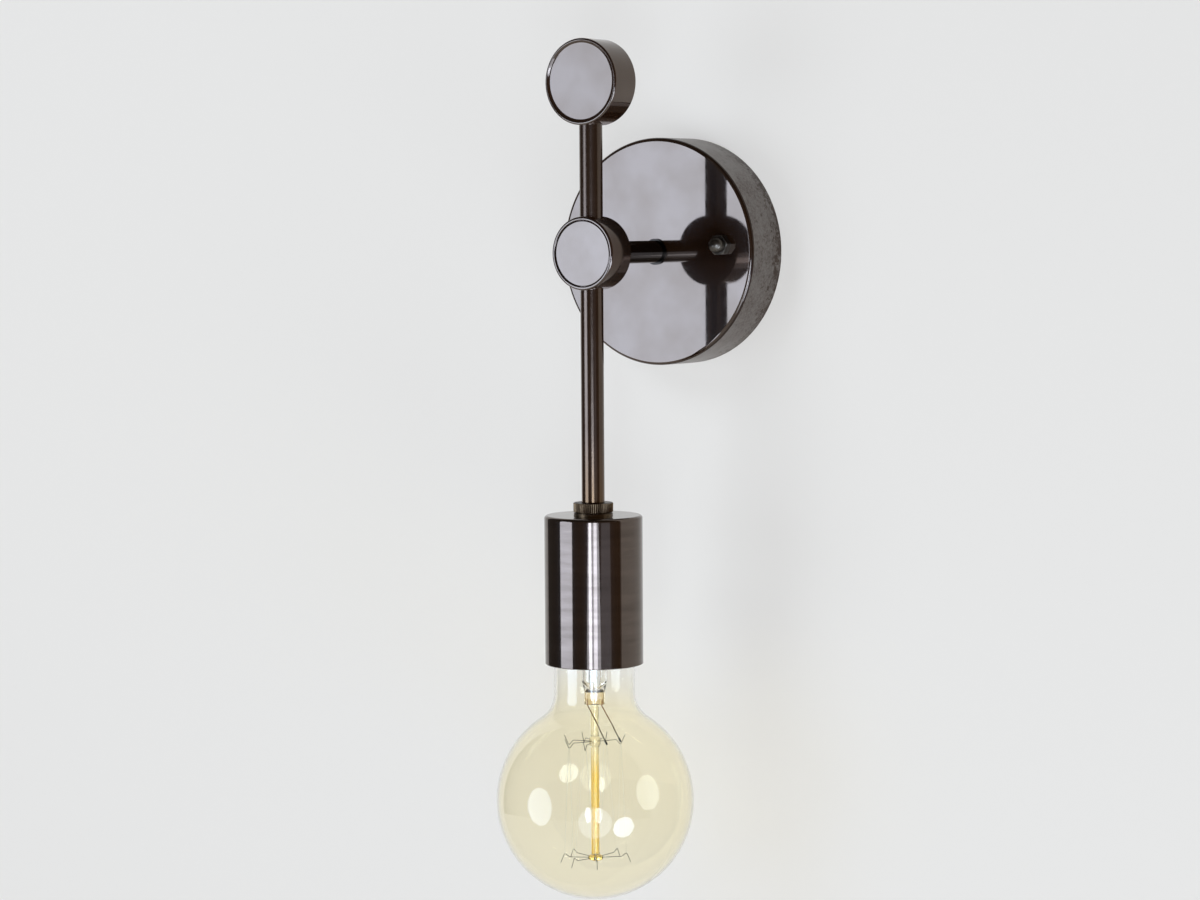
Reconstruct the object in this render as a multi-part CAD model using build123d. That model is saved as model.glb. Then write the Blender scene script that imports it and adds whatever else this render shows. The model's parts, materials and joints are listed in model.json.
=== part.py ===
from build123d import *
import math
import os

# Cylinder wall sconce, in millimetres.
# The origin is on the wall behind the canopy's centre: +X right, -Y out of the wall, +Z up.
# "Out" is a distance from the wall. Heights are measured from the hub's centre.

# Clearances
thread_clearance = 0.05
hole_clearance = 0.25
fit_clearance = 0.1
running_gap = 0.1

# Canopy, the shallow drum on the wall
canopy_d = 111.4
canopy_depth = 26.8
canopy_wall = 1.5
canopy_edge_r = 1.8

# Tubes of the arm and rods, with their threaded ends
tube_d = 11.0
tube_bore_d = 7.6
thread_d = 10.0
arm_length = 47.0
upper_rod_length = 43.0
lower_rod_length = 101.5
seat_depth = 1.0
spigot_gap = 0.5
spigot_stick_out = 1.5

# Arm fixing inside the canopy
collar_d = 12.8
collar_t = 1.0
arm_washer_d = 17.0
arm_washer_t = 1.0
arm_nut_af = 14.0
arm_nut_t = 4.0

# Hub where the arm and rods meet
hub_d = 35.0
hub_land = 2.6
hub_wall = 5.5
hub_back_wall = 4.0
hub_edge_r = 0.8
hub_rim_w = 1.7
hub_rim_r = 1.0
hub_rim_inner_r = 0.4
cover_t = 1.6
cover_drop = 0.4
cover_edge_r = 0.6
cover_lip_h = 2.5
cover_lip_t = 2.0

# Knob on top
knob_d = 40.8
knob_depth = 17.4
knob_edge_r = 0.9
knob_dish = 0.8
knob_rim_w = 1.15
knob_rim_r = 0.5
knob_slope_w = 0.95
knob_slope_r = 1.5
knob_thread_depth = 8.0
drill_spare = 1.0

# Knurled lock ring
ring_d = 19.05
ring_knurl_h = 4.5
ring_groove_h = 0.5
ring_groove_depth = 0.7
ring_flange_h = 1.0
ring_flange_step = 0.15
knurl_teeth = 60
knurl_depth = 0.35
knurl_chamfer = 0.3

# Socket cup
cup_height = 71.5
cup_wall = 1.0
cup_edge_r = 1.5
cup_lip_r = 0.3
neck_gap = 3.2

# Lamp holder
holder_gap = 4.0
holder_cap_h = 23.0
holder_cap_wall = 2.5
holder_cap_round = 3.0
holder_boss_h = 8.0
holder_plug_h = 2.5
holder_rim_round = 1.0
contact_drop = 12.5
contact_space = 2.2
socket_depth = 25.0
shell_t = 0.6
shell_setback = 1.0
shell_hole_d = 16.0
base_clearance = 0.35
leaf_t = 0.5
leaf_width = 5.0
leaf_tail = 2.2
leaf_nose = 3.0
leaf_rise = 0.5
terminal_head_d = 6.0
terminal_head_h = 2.0
terminal_d = 3.0
line_terminal_x = 5.0
neutral_terminal_x = -10.5

# Bulb: medium screw base and 95 mm globe
base_d = 25.9
base_h = 26.5
base_wall = 0.5
base_skirt = 0.5
base_skirt_h = 1.0
base_shoulder_h = 8.5
insulator_top_d = 11.0
insulator_d = 21.0
insulator_h = 4.0
insulator_land_h = 1.0
contact_d = 9.0
contact_h = 2.0
contact_land_d = 4.8
contact_bevel_h = 0.8
neck_d = 38.8
neck_length = 14.0
shoulder_h = 8.7
flare_r = 14.5
globe_d = 95.0
glass_t = 0.9
seal_h = 6.0
shoulder_gap = 0.3

# Glass mount inside the bulb
stem_d = 12.4
stem_wall = 1.0
stem_length = 28.6
stem_setback = 1.0
stem_flare_h = 8.0
stem_flare_rim = 0.8
stem_bend_r = 4.0
press_w = 9.7
press_t = 4.2
press_h = 6.0
press_blend_h = 5.6
exhaust_d = 6.2
exhaust_bore_d = 4.4
exhaust_reach = 8.0
blow_hole_d = 1.6
funnel_floor_h = 2.0
post_d = 4.0
upper_bead_d = 5.4
upper_bead_h = 5.4
lower_bead_d = 7.2
lower_bead_h = 2.8
bead_round = 0.6

# Filament cage
cage_top_rise = 28.3
cage_bottom_drop = 28.3
support_wire_d = 0.28
lead_wire_d = 0.5
clamp_d = 0.95
clamp_length = 2.2
hook_r = 13.5
hook_half_width = 2.3
hook_depth = 2.6
hook_tip_rise = 2.2
leg_r = 15.0
leg_kink_in = 2.4
leg_kink_rise = 0.4
leg_rise = 2.2
leg_tip_out = 1.9
leg_tip_drop = 4.6
support_bend_r = 0.5
support_root = 1.0
lead_root = 2.5
lead_inset = 1.5
lead_end_rise = 0.5
lead_straight = 0.6
lead_bend_r = 1.0
filament_d = 0.12
filament_turn_w = 1.0
filament_bend_r = 0.4
filament_gap = 0.6
lower_leg_count = 7
press_azimuth = 124.0
first_lead_azimuth = 60.0
lead_spread = 42.0

# Wall straps and studs
bar_w = 16.0
bar_t = 1.6
bar_corner_r = 3.0
bar_end_gap = 4.5
slot_length = 14.0
slot_w = 4.6
slot_end_margin = 3.3
stud_inset = 17.0
stud_turn = 5.0
stud_end_margin = 8.3
stud_d = 4.17
stud_head_d = 8.0
stud_head_h = 1.5
stud_nut_af = 8.7
stud_nut_t = 2.6
stud_reach = 4.5
cap_nut_af = 9.2
cap_nut_hex_h = 4.0
cap_nut_h = 9.0
cap_nut_dome_d = 7.9
hex_corner_cut = 0.35
rivet_d = 5.0
rivet_head_d = 9.0
rivet_head_h = 1.2
ground_inset = 17.7
ground_head_d = 8.0
ground_head_h = 3.2
ground_tip_gap = 0.6

# Terminal block and inner wires
block_start = 13.0
block_stud_gap = 6.7
block_w = 15.0
block_h = 11.0
block_edge_r = 0.8
pole_pitch = 8.0
pole_height = 5.8
pole_bore_d = 3.2
block_screw_d = 3.0
block_screw_sink = 0.4
wire_d = 2.2
wire_pitch = 2.8
wire_block_run = 5.0
wire_block_bend_r = 3.0
wire_canopy_bend_r = 5.0
wire_hub_bend_r = 7.0
wire_holder_bend_r = 2.0
wire_turn_gap = 2.5
wire_landing = 3.5

# Places along the wall axis
hub_r = hub_d / 2
hub_back = canopy_depth + arm_length
hub_body_depth = tube_d + 2 * hub_land
hub_front = hub_back + hub_body_depth
cover_seat = hub_front - cover_t
rod_out = hub_back + hub_body_depth / 2
canopy_inside = canopy_depth - canopy_wall
arm_end = canopy_inside - arm_washer_t - arm_nut_t - spigot_stick_out
stud_x = canopy_d / 2 - stud_inset
stud_bar_front = 2 * bar_t
stud_tip = canopy_depth + stud_reach
pole_out = stud_bar_front + pole_height

# Radii shared by threads and fits
tube_r = tube_d / 2
bore_r = tube_bore_d / 2
thread_r = thread_d / 2
tapped_r = thread_r + thread_clearance
clear_r = thread_r + hole_clearance
seat_r = tube_r + fit_clearance
stud_r = stud_d / 2
cavity_r = hub_r - hub_wall
recess_r = hub_r - hub_rim_w
hub_spigot = hub_wall - seat_depth - spigot_gap

# Heights along the rod axis, from top to bottom
knob_r = knob_d / 2
knob_bottom = hub_r + upper_rod_length
knob_z = knob_bottom + knob_r
ring_h = ring_knurl_h + ring_groove_h + ring_flange_h
ring_top = -hub_r - lower_rod_length
cup_top = ring_top - ring_h
cup_inside_top = cup_top - cup_wall
cup_bottom = cup_top - cup_height
boss_bottom = cup_inside_top - holder_boss_h
holder_joint = cup_inside_top - holder_cap_h
plug_top = holder_joint + holder_plug_h
tip_z = holder_joint - contact_drop
socket_floor = tip_z + contact_space
holder_rim = tip_z - socket_depth
base_rim = tip_z - base_h

# Radii of the cup, holder and bulb
neck_r = neck_d / 2
cup_inside_r = neck_r + neck_gap
cup_r = cup_inside_r + cup_wall
holder_r = cup_inside_r - holder_gap
holder_cap_bore_r = holder_r - holder_cap_wall
base_r = base_d / 2
shell_bore_r = base_r + base_clearance
shell_r = shell_bore_r + shell_t
globe_r = globe_d / 2
seal_r = base_r - base_wall - fit_clearance

# Bulb: S-shaped shoulder below the base, then neck, flare and globe
shoulder_top = base_rim - shoulder_gap
shoulder_turn = 2 * math.atan2(neck_r - seal_r, shoulder_h)
shoulder_r = shoulder_h / (2 * math.sin(shoulder_turn))
neck_top = shoulder_top - shoulder_h
neck_bottom = neck_top - neck_length
globe_z = neck_bottom - math.sqrt((globe_r + flare_r) ** 2 - (neck_r + flare_r) ** 2)

# Heights of the glass mount
stem_top = base_rim + seal_h - stem_setback
press_bottom = base_rim - stem_length
press_top = press_bottom + press_h
press_blend_top = press_top + press_blend_h
funnel_low = press_top + funnel_floor_h
cage_top = globe_z + cage_top_rise
cage_bottom = globe_z - cage_bottom_drop
lead_end = cage_top + lead_end_rise
filament_step = (360.0 - lead_spread) / (2 * lower_leg_count)


def turned(*corners):
    """Revolve a closed half outline about Z. A corner is (radius, height) or (radius, height, rounding)."""
    points = [(corner[0], 0, corner[1]) for corner in corners]
    rounding = [corner[2] if len(corner) > 2 else 0 for corner in corners]
    outline = FilletPolyline(*points, radius=rounding, close=True)
    return revolve(make_face(outline.edges()), Axis.Z)


def ring(inner_r, outer_r, low, high):
    return turned((inner_r, low), (outer_r, low), (outer_r, high), (inner_r, high))


def rod(radius, low, high):
    return turned((0, low), (radius, low), (radius, high), (0, high))


def on_wall(shape):
    """Turn a shape made along Z so that its height becomes a distance out from the wall."""
    return Rot(90, 0, 0) * shape


def on_bar(shape):
    """As on_wall, for what sits on the stud bar, which is turned on its rivet."""
    return on_wall(Rot(0, 0, stud_turn) * shape)


def on_rod(shape):
    return Pos(0, -rod_out, 0) * shape


def at_studs(shape):
    return [Rot(0, 0, stud_turn) * Pos(side * stud_x, 0, 0) * shape for side in (-1, 1)]


def pair(shape):
    """The same fastener at both studs."""
    return Part() + [on_wall(fastener) for fastener in at_studs(shape)]


def hexagon(across_flats, low, high):
    """Hexagonal prism along Z with its corners turned off at the top."""
    sides = extrude(RegularPolygon(across_flats / 2, 6, major_radius=False), high - low)
    corner_r = across_flats / math.sqrt(3)
    turning = turned((0, low), (corner_r, low), (corner_r, high - hex_corner_cut),
                     (corner_r - 2 * hex_corner_cut, high), (0, high))
    return Pos(0, 0, low) * sides & turning


def wire(points, diameter, radii):
    """Round wire along straight runs joined by tangent arcs."""
    path = FilletPolyline(*points, radius=radii)
    section = Plane(origin=path @ 0, z_dir=path % 0) * Circle(diameter / 2)
    return sweep(section, path=path)


def threaded_tube(low, high, low_spigot, high_spigot):
    """Tube between two shoulders, with a threaded spigot past each."""
    return turned((bore_r, low - low_spigot), (thread_r, low - low_spigot), (thread_r, low),
                  (tube_r, low), (tube_r, high), (thread_r, high), (thread_r, high + high_spigot),
                  (bore_r, high + high_spigot))


def at_azimuth(shape, azimuth):
    """Turn a shape made along +X to an azimuth, counted from -Y towards +X."""
    return Rot(0, 0, azimuth - 90) * shape


def polar(radius, azimuth, z):
    angle = math.radians(azimuth)
    return (radius * math.sin(angle), -radius * math.cos(angle), z)


# Wall straps
def strap(length, start):
    return Pos(0, 0, start) * extrude(RectangleRounded(length, bar_w, bar_corner_r), bar_t)


def make_wall_bar():
    length = canopy_d - 2 * (canopy_wall + bar_end_gap)
    slot_centre = length / 2 - slot_end_margin - slot_length / 2
    slot = extrude(SlotOverall(slot_length, slot_w), bar_t)
    bar = strap(length, 0)
    bar -= [Pos(side * slot_centre, 0, 0) * slot for side in (-1, 1)]
    bar -= rivet_shape(fit_clearance)
    return on_wall(Rot(0, 0, 90) * bar)


def make_stud_bar():
    bar = strap(2 * (stud_x + stud_end_margin), bar_t)
    tapped = rod(stud_r + thread_clearance, bar_t, stud_bar_front)
    bar -= [Pos(x, 0, 0) * tapped for x in (-stud_x, stud_x, ground_x())]
    bar -= rivet_shape(fit_clearance)
    return on_bar(bar)


def ground_x():
    return -(stud_x - ground_inset)


def rivet_shape(allowance):
    """Rivet through both straps, sunk flush at the wall side; allowance widens it for the holes."""
    shank = rivet_d / 2 + allowance
    sunk = rivet_head_d / 2 + allowance
    return turned((0, 0), (sunk, 0), (shank, bar_t), (shank, stud_bar_front), (0, stud_bar_front))


def make_bar_rivet():
    front = stud_bar_front + rivet_head_h
    head = turned((0, stud_bar_front), (rivet_head_d / 2, stud_bar_front),
                  (rivet_head_d / 2, front, rivet_head_h / 2), (0, front))
    return on_wall(rivet_shape(0) + head)


def make_canopy_studs():
    head_back = bar_t - stud_head_h
    return pair(turned((0, head_back), (stud_head_d / 2, head_back), (stud_head_d / 2, bar_t),
                       (stud_r, bar_t), (stud_r, stud_tip), (0, stud_tip)))


def make_stud_nuts():
    top = stud_bar_front + stud_nut_t
    return pair(hexagon(stud_nut_af, stud_bar_front, top)
                - rod(stud_r + thread_clearance, stud_bar_front, top))


def make_ground_screw():
    top = stud_bar_front + ground_head_h
    head = hexagon(ground_head_d, stud_bar_front, top)
    return on_bar(Pos(ground_x(), 0, 0) * (head + rod(stud_r, ground_tip_gap, stud_bar_front)))


# Terminal block on the stud bar
block_length = stud_x - block_start - block_stud_gap
block_screw_offset = block_length / 4


def block_poles():
    return [-pole_pitch / 2, pole_pitch / 2]


def block_screw_places():
    middle = block_start + block_length / 2
    return [(middle + side * block_screw_offset, pole) for side in (-1, 1) for pole in block_poles()]


def make_terminal_block():
    top = stud_bar_front + block_h
    outline = RectangleRounded(block_length, block_w, block_edge_r)
    middle = block_start + block_length / 2
    block = Pos(middle, 0, stud_bar_front) * extrude(outline, block_h)
    channel = Rot(0, 90, 0) * rod(pole_bore_d / 2, block_start, block_start + block_length)
    block -= [Pos(0, pole, pole_out) * channel for pole in block_poles()]
    hole = rod(block_screw_d / 2 + thread_clearance, pole_out, top)
    block -= [Pos(x, y, 0) * hole for x, y in block_screw_places()]
    return on_bar(block)


def make_block_screws():
    low = pole_out + wire_d / 2
    screw = rod(block_screw_d / 2, low, stud_bar_front + block_h - block_screw_sink)
    return Part() + [on_bar(Pos(x, y, 0) * screw) for x, y in block_screw_places()]


# Canopy and arm
def make_canopy():
    radius = canopy_d / 2
    shell = turned((clear_r, canopy_depth), (radius, canopy_depth, canopy_edge_r), (radius, 0),
                   (radius - canopy_wall, 0), (radius - canopy_wall, canopy_inside),
                   (clear_r, canopy_inside))
    stud_hole = rod(stud_r + hole_clearance, canopy_inside, canopy_depth)
    return on_wall(shell - at_studs(stud_hole))


def make_cap_nuts():
    dome_r = cap_nut_dome_d / 2
    nut = hexagon(cap_nut_af, 0, cap_nut_hex_h) + Pos(0, 0, cap_nut_h - dome_r) * Sphere(dome_r)
    nut = nut & rod(cap_nut_af, 0, cap_nut_h)
    nut -= rod(stud_r + thread_clearance, 0, stud_reach)
    return pair(Pos(0, 0, canopy_depth) * nut)


def make_arm_tube():
    shoulder = canopy_depth + collar_t
    hub_end = hub_back_wall - spigot_gap
    return on_wall(threaded_tube(shoulder, hub_back, shoulder - arm_end, hub_end))


def make_arm_collar():
    return on_wall(ring(clear_r, collar_d / 2, canopy_depth, canopy_depth + collar_t))


def make_arm_washer():
    return on_wall(ring(clear_r, arm_washer_d / 2, canopy_inside - arm_washer_t, canopy_inside))


def make_arm_nut():
    front = canopy_inside - arm_washer_t
    nut = hexagon(arm_nut_af, front - arm_nut_t, front)
    return on_wall(nut - rod(tapped_r, front - arm_nut_t, front))


# Hub, rods and knob
def rod_socket(seat, depth):
    """Tapped hole with a flat seat for a rod that points down into it, along Z."""
    return rod(tapped_r, seat - depth, seat) + rod(seat_r, seat, seat + tube_d)


def make_hub_body():
    back_inside = hub_back + hub_back_wall
    body = on_wall(turned((tapped_r, hub_back), (hub_r, hub_back, hub_edge_r), (hub_r, hub_front, hub_rim_r),
                          (recess_r, hub_front, hub_rim_inner_r), (recess_r, cover_seat),
                          (cavity_r, cover_seat), (cavity_r, back_inside), (tapped_r, back_inside)))
    socket = rod_socket(hub_r - seat_depth, hub_wall)
    body -= on_rod(socket)
    body -= on_rod(Rot(180, 0, 0) * socket)
    return body


def make_hub_cover():
    """Disc let into the hub's front, a little below its rim, held by a lip in the cavity."""
    lip_r = cavity_r - fit_clearance
    cover_r = recess_r - fit_clearance
    lip_end = cover_seat - cover_lip_h
    face = hub_front - cover_drop
    return on_wall(turned((0, cover_seat), (lip_r - cover_lip_t, cover_seat), (lip_r - cover_lip_t, lip_end),
                          (lip_r, lip_end), (lip_r, cover_seat), (cover_r, cover_seat),
                          (cover_r, face, cover_edge_r), (0, face)))


def make_upper_rod():
    return on_rod(threaded_tube(hub_r - seat_depth, knob_bottom + seat_depth, hub_spigot, knob_thread_depth))


def make_top_knob():
    """Thick disc whose front is dished inside a rounded rim."""
    back = rod_out - knob_depth / 2
    front = rod_out + knob_depth / 2
    rim_r = knob_r - knob_rim_w
    face = front - knob_dish
    disc = turned((0, back), (knob_r, back, knob_edge_r), (knob_r, front, knob_edge_r),
                  (rim_r, front, knob_rim_r), (rim_r - knob_slope_w, face, knob_slope_r), (0, face))
    socket = Rot(180, 0, 0) * rod_socket(-knob_bottom - seat_depth, knob_thread_depth + drill_spare)
    return Pos(0, 0, knob_z) * on_wall(disc) - on_rod(socket)


def make_lower_rod():
    holder_spigot = ring_h + cup_wall + holder_boss_h + spigot_gap
    return on_rod(threaded_tube(ring_top, seat_depth - hub_r, holder_spigot, hub_spigot))


# Knurled ring and cup
def make_knurled_ring():
    knurl_low = cup_top + ring_flange_h + ring_groove_h
    outer = ring_d / 2
    teeth = [(outer - knurl_depth * (index % 2), index * 180 / knurl_teeth)
             for index in range(2 * knurl_teeth)]
    outline = Polyline(*[polar(radius, angle, knurl_low) for radius, angle in teeth], close=True)
    knurl = extrude(make_face(outline.edges()), ring_knurl_h, dir=(0, 0, 1))
    knurl = knurl & turned((0, knurl_low), (outer - knurl_chamfer, knurl_low),
                           (outer, knurl_low + knurl_chamfer), (outer, ring_top - knurl_chamfer),
                           (outer - knurl_chamfer, ring_top), (0, ring_top))
    flange_r = outer - ring_flange_step
    foot = turned((0, cup_top), (flange_r, cup_top), (flange_r, cup_top + ring_flange_h),
                  (outer - ring_groove_depth, cup_top + ring_flange_h),
                  (outer - ring_groove_depth, knurl_low), (0, knurl_low))
    return on_rod(knurl + foot - rod(tapped_r, cup_top, ring_top))


def make_socket_cup():
    inner_round = cup_edge_r - cup_wall
    return on_rod(turned((clear_r, cup_top), (cup_r, cup_top, cup_edge_r), (cup_r, cup_bottom, cup_lip_r),
                         (cup_inside_r, cup_bottom, cup_lip_r), (cup_inside_r, cup_inside_top, inner_round),
                         (clear_r, cup_inside_top)))


# Lamp holder
def make_holder_cap():
    return on_rod(turned((tapped_r, cup_inside_top), (holder_r, cup_inside_top, holder_cap_round),
                         (holder_r, holder_joint), (holder_cap_bore_r, holder_joint),
                         (holder_cap_bore_r, boss_bottom), (tapped_r, boss_bottom)))


def holder_terminals():
    return [line_terminal_x, neutral_terminal_x]


def make_holder_body():
    plug_r = holder_cap_bore_r - fit_clearance
    bore = shell_r + fit_clearance
    body = turned((0, plug_top), (plug_r, plug_top), (plug_r, holder_joint), (holder_r, holder_joint),
                  (holder_r, holder_rim, holder_rim_round), (bore, holder_rim), (bore, socket_floor),
                  (0, socket_floor))
    hole = rod(terminal_d / 2 + thread_clearance, socket_floor, plug_top)
    return on_rod(body - [Pos(x, 0, 0) * hole for x in holder_terminals()])


def make_screw_shell():
    low = holder_rim + shell_setback
    top = socket_floor - shell_t
    return on_rod(turned((shell_hole_d / 2, socket_floor), (shell_r, socket_floor), (shell_r, low),
                         (shell_bore_r, low), (shell_bore_r, top), (shell_hole_d / 2, top)))


def make_centre_contact():
    """Leaf riveted under the line terminal, bent down to the bulb's tip."""
    flat = socket_floor - leaf_t / 2
    touch = tip_z + running_gap + leaf_t / 2
    line = [(line_terminal_x + leaf_tail, flat), (line_terminal_x - terminal_d / 2, flat),
            (0, touch), (-leaf_nose, touch + leaf_rise)]
    upper = [(x, 0, z + leaf_t / 2) for x, z in line]
    lower = [(x, 0, z - leaf_t / 2) for x, z in reversed(line)]
    strip = extrude(make_face(Polyline(*upper, *lower, close=True).edges()), leaf_width / 2, both=True)
    return on_rod(strip)


def make_holder_screws():
    head_top = plug_top + terminal_head_h
    screw = turned((0, socket_floor), (terminal_d / 2, socket_floor), (terminal_d / 2, plug_top),
                   (terminal_head_d / 2, plug_top),
                   (terminal_head_d / 2, head_top, terminal_head_h / 3), (0, head_top))
    return Part() + [on_rod(Pos(x, 0, 0) * screw) for x in holder_terminals()]


# Inner wires, from the terminal block through the arm, hub and lower rod to the holder
def pole_point(x, pole):
    """Point of a terminal pole's axis, on the turned stud bar."""
    place = on_bar(Pos(x, pole, pole_out)).position
    return (place.X, place.Y, place.Z)


def make_inner_wire(side, terminal_x):
    x = side * wire_pitch / 2
    pole = side * pole_pitch / 2
    turn = boss_bottom - spigot_gap - wire_turn_gap
    landing = plug_top + terminal_head_h
    block_end = block_start + block_length / 2 - running_gap
    points = [pole_point(block_end, pole), pole_point(block_start - wire_block_run, pole),
              (x, -pole_out, 0), (x, -rod_out, 0), (x, -rod_out, turn),
              (terminal_x, -rod_out, landing + wire_landing), (terminal_x, -rod_out, landing)]
    radii = [wire_block_bend_r, wire_canopy_bend_r, wire_hub_bend_r, wire_holder_bend_r, wire_holder_bend_r]
    return wire(points, wire_d, radii)


# Bulb shell and base
def arc(centre, radius, start, end):
    """Arc in the half-plane of radius and height, between two angles in radians."""
    angles = [start, (start + end) / 2, end]
    points = [(centre[0] + radius * math.cos(a), 0, centre[1] + radius * math.sin(a)) for a in angles]
    return ThreePointArc(*points)


def bulb_form(inset, top):
    """Solid of the bulb's outline, moved inwards by the inset and cut off at the top."""
    flare_centre = (neck_r + flare_r, neck_bottom)
    flare_angle = math.atan2(neck_bottom - globe_z, neck_r + flare_r)
    upper = arc((seal_r + shoulder_r, shoulder_top), shoulder_r + inset, math.pi, math.pi + shoulder_turn)
    lower = arc((neck_r - shoulder_r, neck_top), shoulder_r - inset, shoulder_turn, 0)
    flare = arc(flare_centre, flare_r + inset, math.pi, math.pi + flare_angle)
    globe = arc((0, globe_z), globe_r - inset, flare_angle, -math.pi / 2)
    runs = [Line((0, 0, top), (seal_r - inset, 0, top)), Line((seal_r - inset, 0, top), upper @ 0),
            upper, lower, Line(lower @ 1, flare @ 0), flare, globe, Line(globe @ 1, (0, 0, top))]
    return revolve(make_face(runs), Axis.Z)


def make_bulb_glass():
    top = base_rim + seal_h
    return on_rod(bulb_form(0, top) - bulb_form(glass_t, top + glass_t))


def make_bulb_cap():
    lip_r = insulator_d / 2 + fit_clearance
    lip = tip_z - contact_h - insulator_h
    shoulder = tip_z - base_shoulder_h
    skirt_r = base_r + base_skirt
    inner = base_r - base_wall
    skirt_top = base_rim + base_skirt_h
    return on_rod(turned((lip_r, lip + insulator_land_h), (base_r, shoulder),
                         (base_r, skirt_top + base_skirt_h), (skirt_r, skirt_top), (skirt_r, base_rim),
                         (inner, base_rim), (inner, shoulder - base_wall), (lip_r, lip)))


def make_bulb_insulator():
    top = tip_z - contact_h - running_gap
    land = tip_z - contact_h - insulator_h
    return on_rod(turned((0, top), (insulator_top_d / 2, top), (insulator_d / 2, land + insulator_land_h),
                         (insulator_d / 2, land), (0, land)))


def make_bulb_contact():
    low = tip_z - contact_h
    return on_rod(turned((0, low), (contact_d / 2, low), (contact_d / 2, tip_z - contact_bevel_h),
                         (contact_land_d / 2, tip_z), (0, tip_z)))


# Glass mount
def make_bulb_stem():
    outer = stem_d / 2
    inner = outer - stem_wall
    flare_rim_r = seal_r - glass_t - fit_clearance
    bend = stem_top - stem_flare_h
    tube = turned((flare_rim_r - stem_wall, stem_top), (flare_rim_r, stem_top),
                  (flare_rim_r, stem_top - stem_flare_rim), (outer, bend, stem_bend_r),
                  (outer, press_blend_top), (inner, press_blend_top), (inner, bend, stem_bend_r))
    press_outline = Ellipse(press_w / 2, press_t / 2)
    blend = loft([Pos(0, 0, press_blend_top) * Circle(outer), Pos(0, 0, press_top) * press_outline])
    press = Pos(0, 0, press_bottom) * extrude(press_outline, press_h)
    funnel = turned((0, funnel_low), (exhaust_bore_d / 2, funnel_low), (inner, press_blend_top),
                    (0, press_blend_top))
    blow_z = funnel_low + blow_hole_d / 2
    blow_hole = Pos(0, 0, blow_z) * Rot(90, 0, 0) * rod(blow_hole_d / 2, 0, stem_d)
    stem = tube + blend + press - funnel - blow_hole
    return on_rod(at_azimuth(stem, press_azimuth))


def make_exhaust_tube():
    """Thin tube that stands in the stem's funnel, where the funnel is just wider than the tube."""
    funnel_low_r = exhaust_bore_d / 2
    funnel_top_r = stem_d / 2 - stem_wall
    seat_r = exhaust_d / 2 + fit_clearance
    seat = (seat_r - funnel_low_r) / (funnel_top_r - funnel_low_r)
    low = funnel_low + seat * (press_blend_top - funnel_low)
    return on_rod(ring(exhaust_bore_d / 2, exhaust_d / 2, low, stem_top + exhaust_reach))


def make_bulb_post():
    post = post_d / 2
    high = upper_bead_h / 2
    low = lower_bead_h / 2
    wide = upper_bead_d / 2
    foot = lower_bead_d / 2
    return on_rod(turned((0, press_bottom), (post, press_bottom), (post, cage_top + high),
                         (wide, cage_top + high / 2, bead_round), (wide, cage_top - high / 2, bead_round),
                         (post, cage_top - high), (post, cage_bottom + low),
                         (foot, cage_bottom + low / 2, bead_round), (foot, cage_bottom - low / 2, bead_round),
                         (post, cage_bottom - low), (0, cage_bottom - low)))


# Lead wires, hooks and filament
def upper_azimuth(index):
    """Azimuth of an upper filament point; the first and last are the two leads."""
    return first_lead_azimuth - 2 * index * filament_step


def lower_azimuth(index):
    return first_lead_azimuth - (2 * index + 1) * filament_step


def make_bulb_leads():
    leads = []
    root = press_w / 2 - lead_inset
    for side, azimuth in ((-1, upper_azimuth(0)), (1, upper_azimuth(lower_leg_count))):
        knee = Vector(*polar(side * root, press_azimuth, press_bottom - lead_straight))
        end = Vector(*polar(hook_r, azimuth, lead_end))
        clamp = Line(end - (end - knee).normalized() * clamp_length, end)
        section = Plane(origin=clamp @ 0, z_dir=clamp % 0) * Circle(clamp_d / 2)
        root_point = polar(side * root, press_azimuth, press_bottom + lead_root)
        leads.append(wire([root_point, knee, end], lead_wire_d, [lead_bend_r]) + sweep(section, path=clamp))
    return on_rod(Part() + leads)


def make_upper_supports():
    root = upper_bead_d / 2 - support_root
    points = [(root, 0, cage_top), (hook_r - hook_half_width, 0, cage_top),
              (hook_r, 0, cage_top - hook_depth),
              (hook_r + hook_half_width, 0, cage_top + hook_tip_rise)]
    hook = wire(points, support_wire_d, [support_bend_r, support_bend_r])
    return on_rod(Part() + [at_azimuth(hook, upper_azimuth(index)) for index in range(1, lower_leg_count)])


def make_lower_supports():
    root = lower_bead_d / 2 - support_root
    points = [(root, 0, cage_bottom), (leg_r - leg_kink_in, 0, cage_bottom + leg_kink_rise),
              (leg_r, 0, cage_bottom + leg_rise),
              (leg_r + leg_tip_out, 0, cage_bottom + leg_rise - leg_tip_drop)]
    leg = wire(points, support_wire_d, [support_bend_r, support_bend_r])
    return on_rod(Part() + [at_azimuth(leg, lower_azimuth(index)) for index in range(lower_leg_count)])


def filament_turn(radius, azimuth, z):
    """Two corners of the filament where it passes round a hook or leg."""
    half = math.degrees(filament_turn_w / 2 / radius)
    return [polar(radius, azimuth + half, z), polar(radius, azimuth - half, z)]


def make_filament():
    reach = (support_wire_d + filament_d) / 2 + filament_gap
    over = cage_top - hook_depth + reach
    under = cage_bottom + leg_rise - reach
    start = lead_end - fit_clearance
    points = [polar(hook_r, upper_azimuth(0), start)]
    for index in range(lower_leg_count):
        points += filament_turn(leg_r, lower_azimuth(index), under)
        if index < lower_leg_count - 1:
            points += filament_turn(hook_r, upper_azimuth(index + 1), over)
    points.append(polar(hook_r, upper_azimuth(lower_leg_count), start))
    return on_rod(wire(points, filament_d, [filament_bend_r] * (len(points) - 2)))


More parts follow.
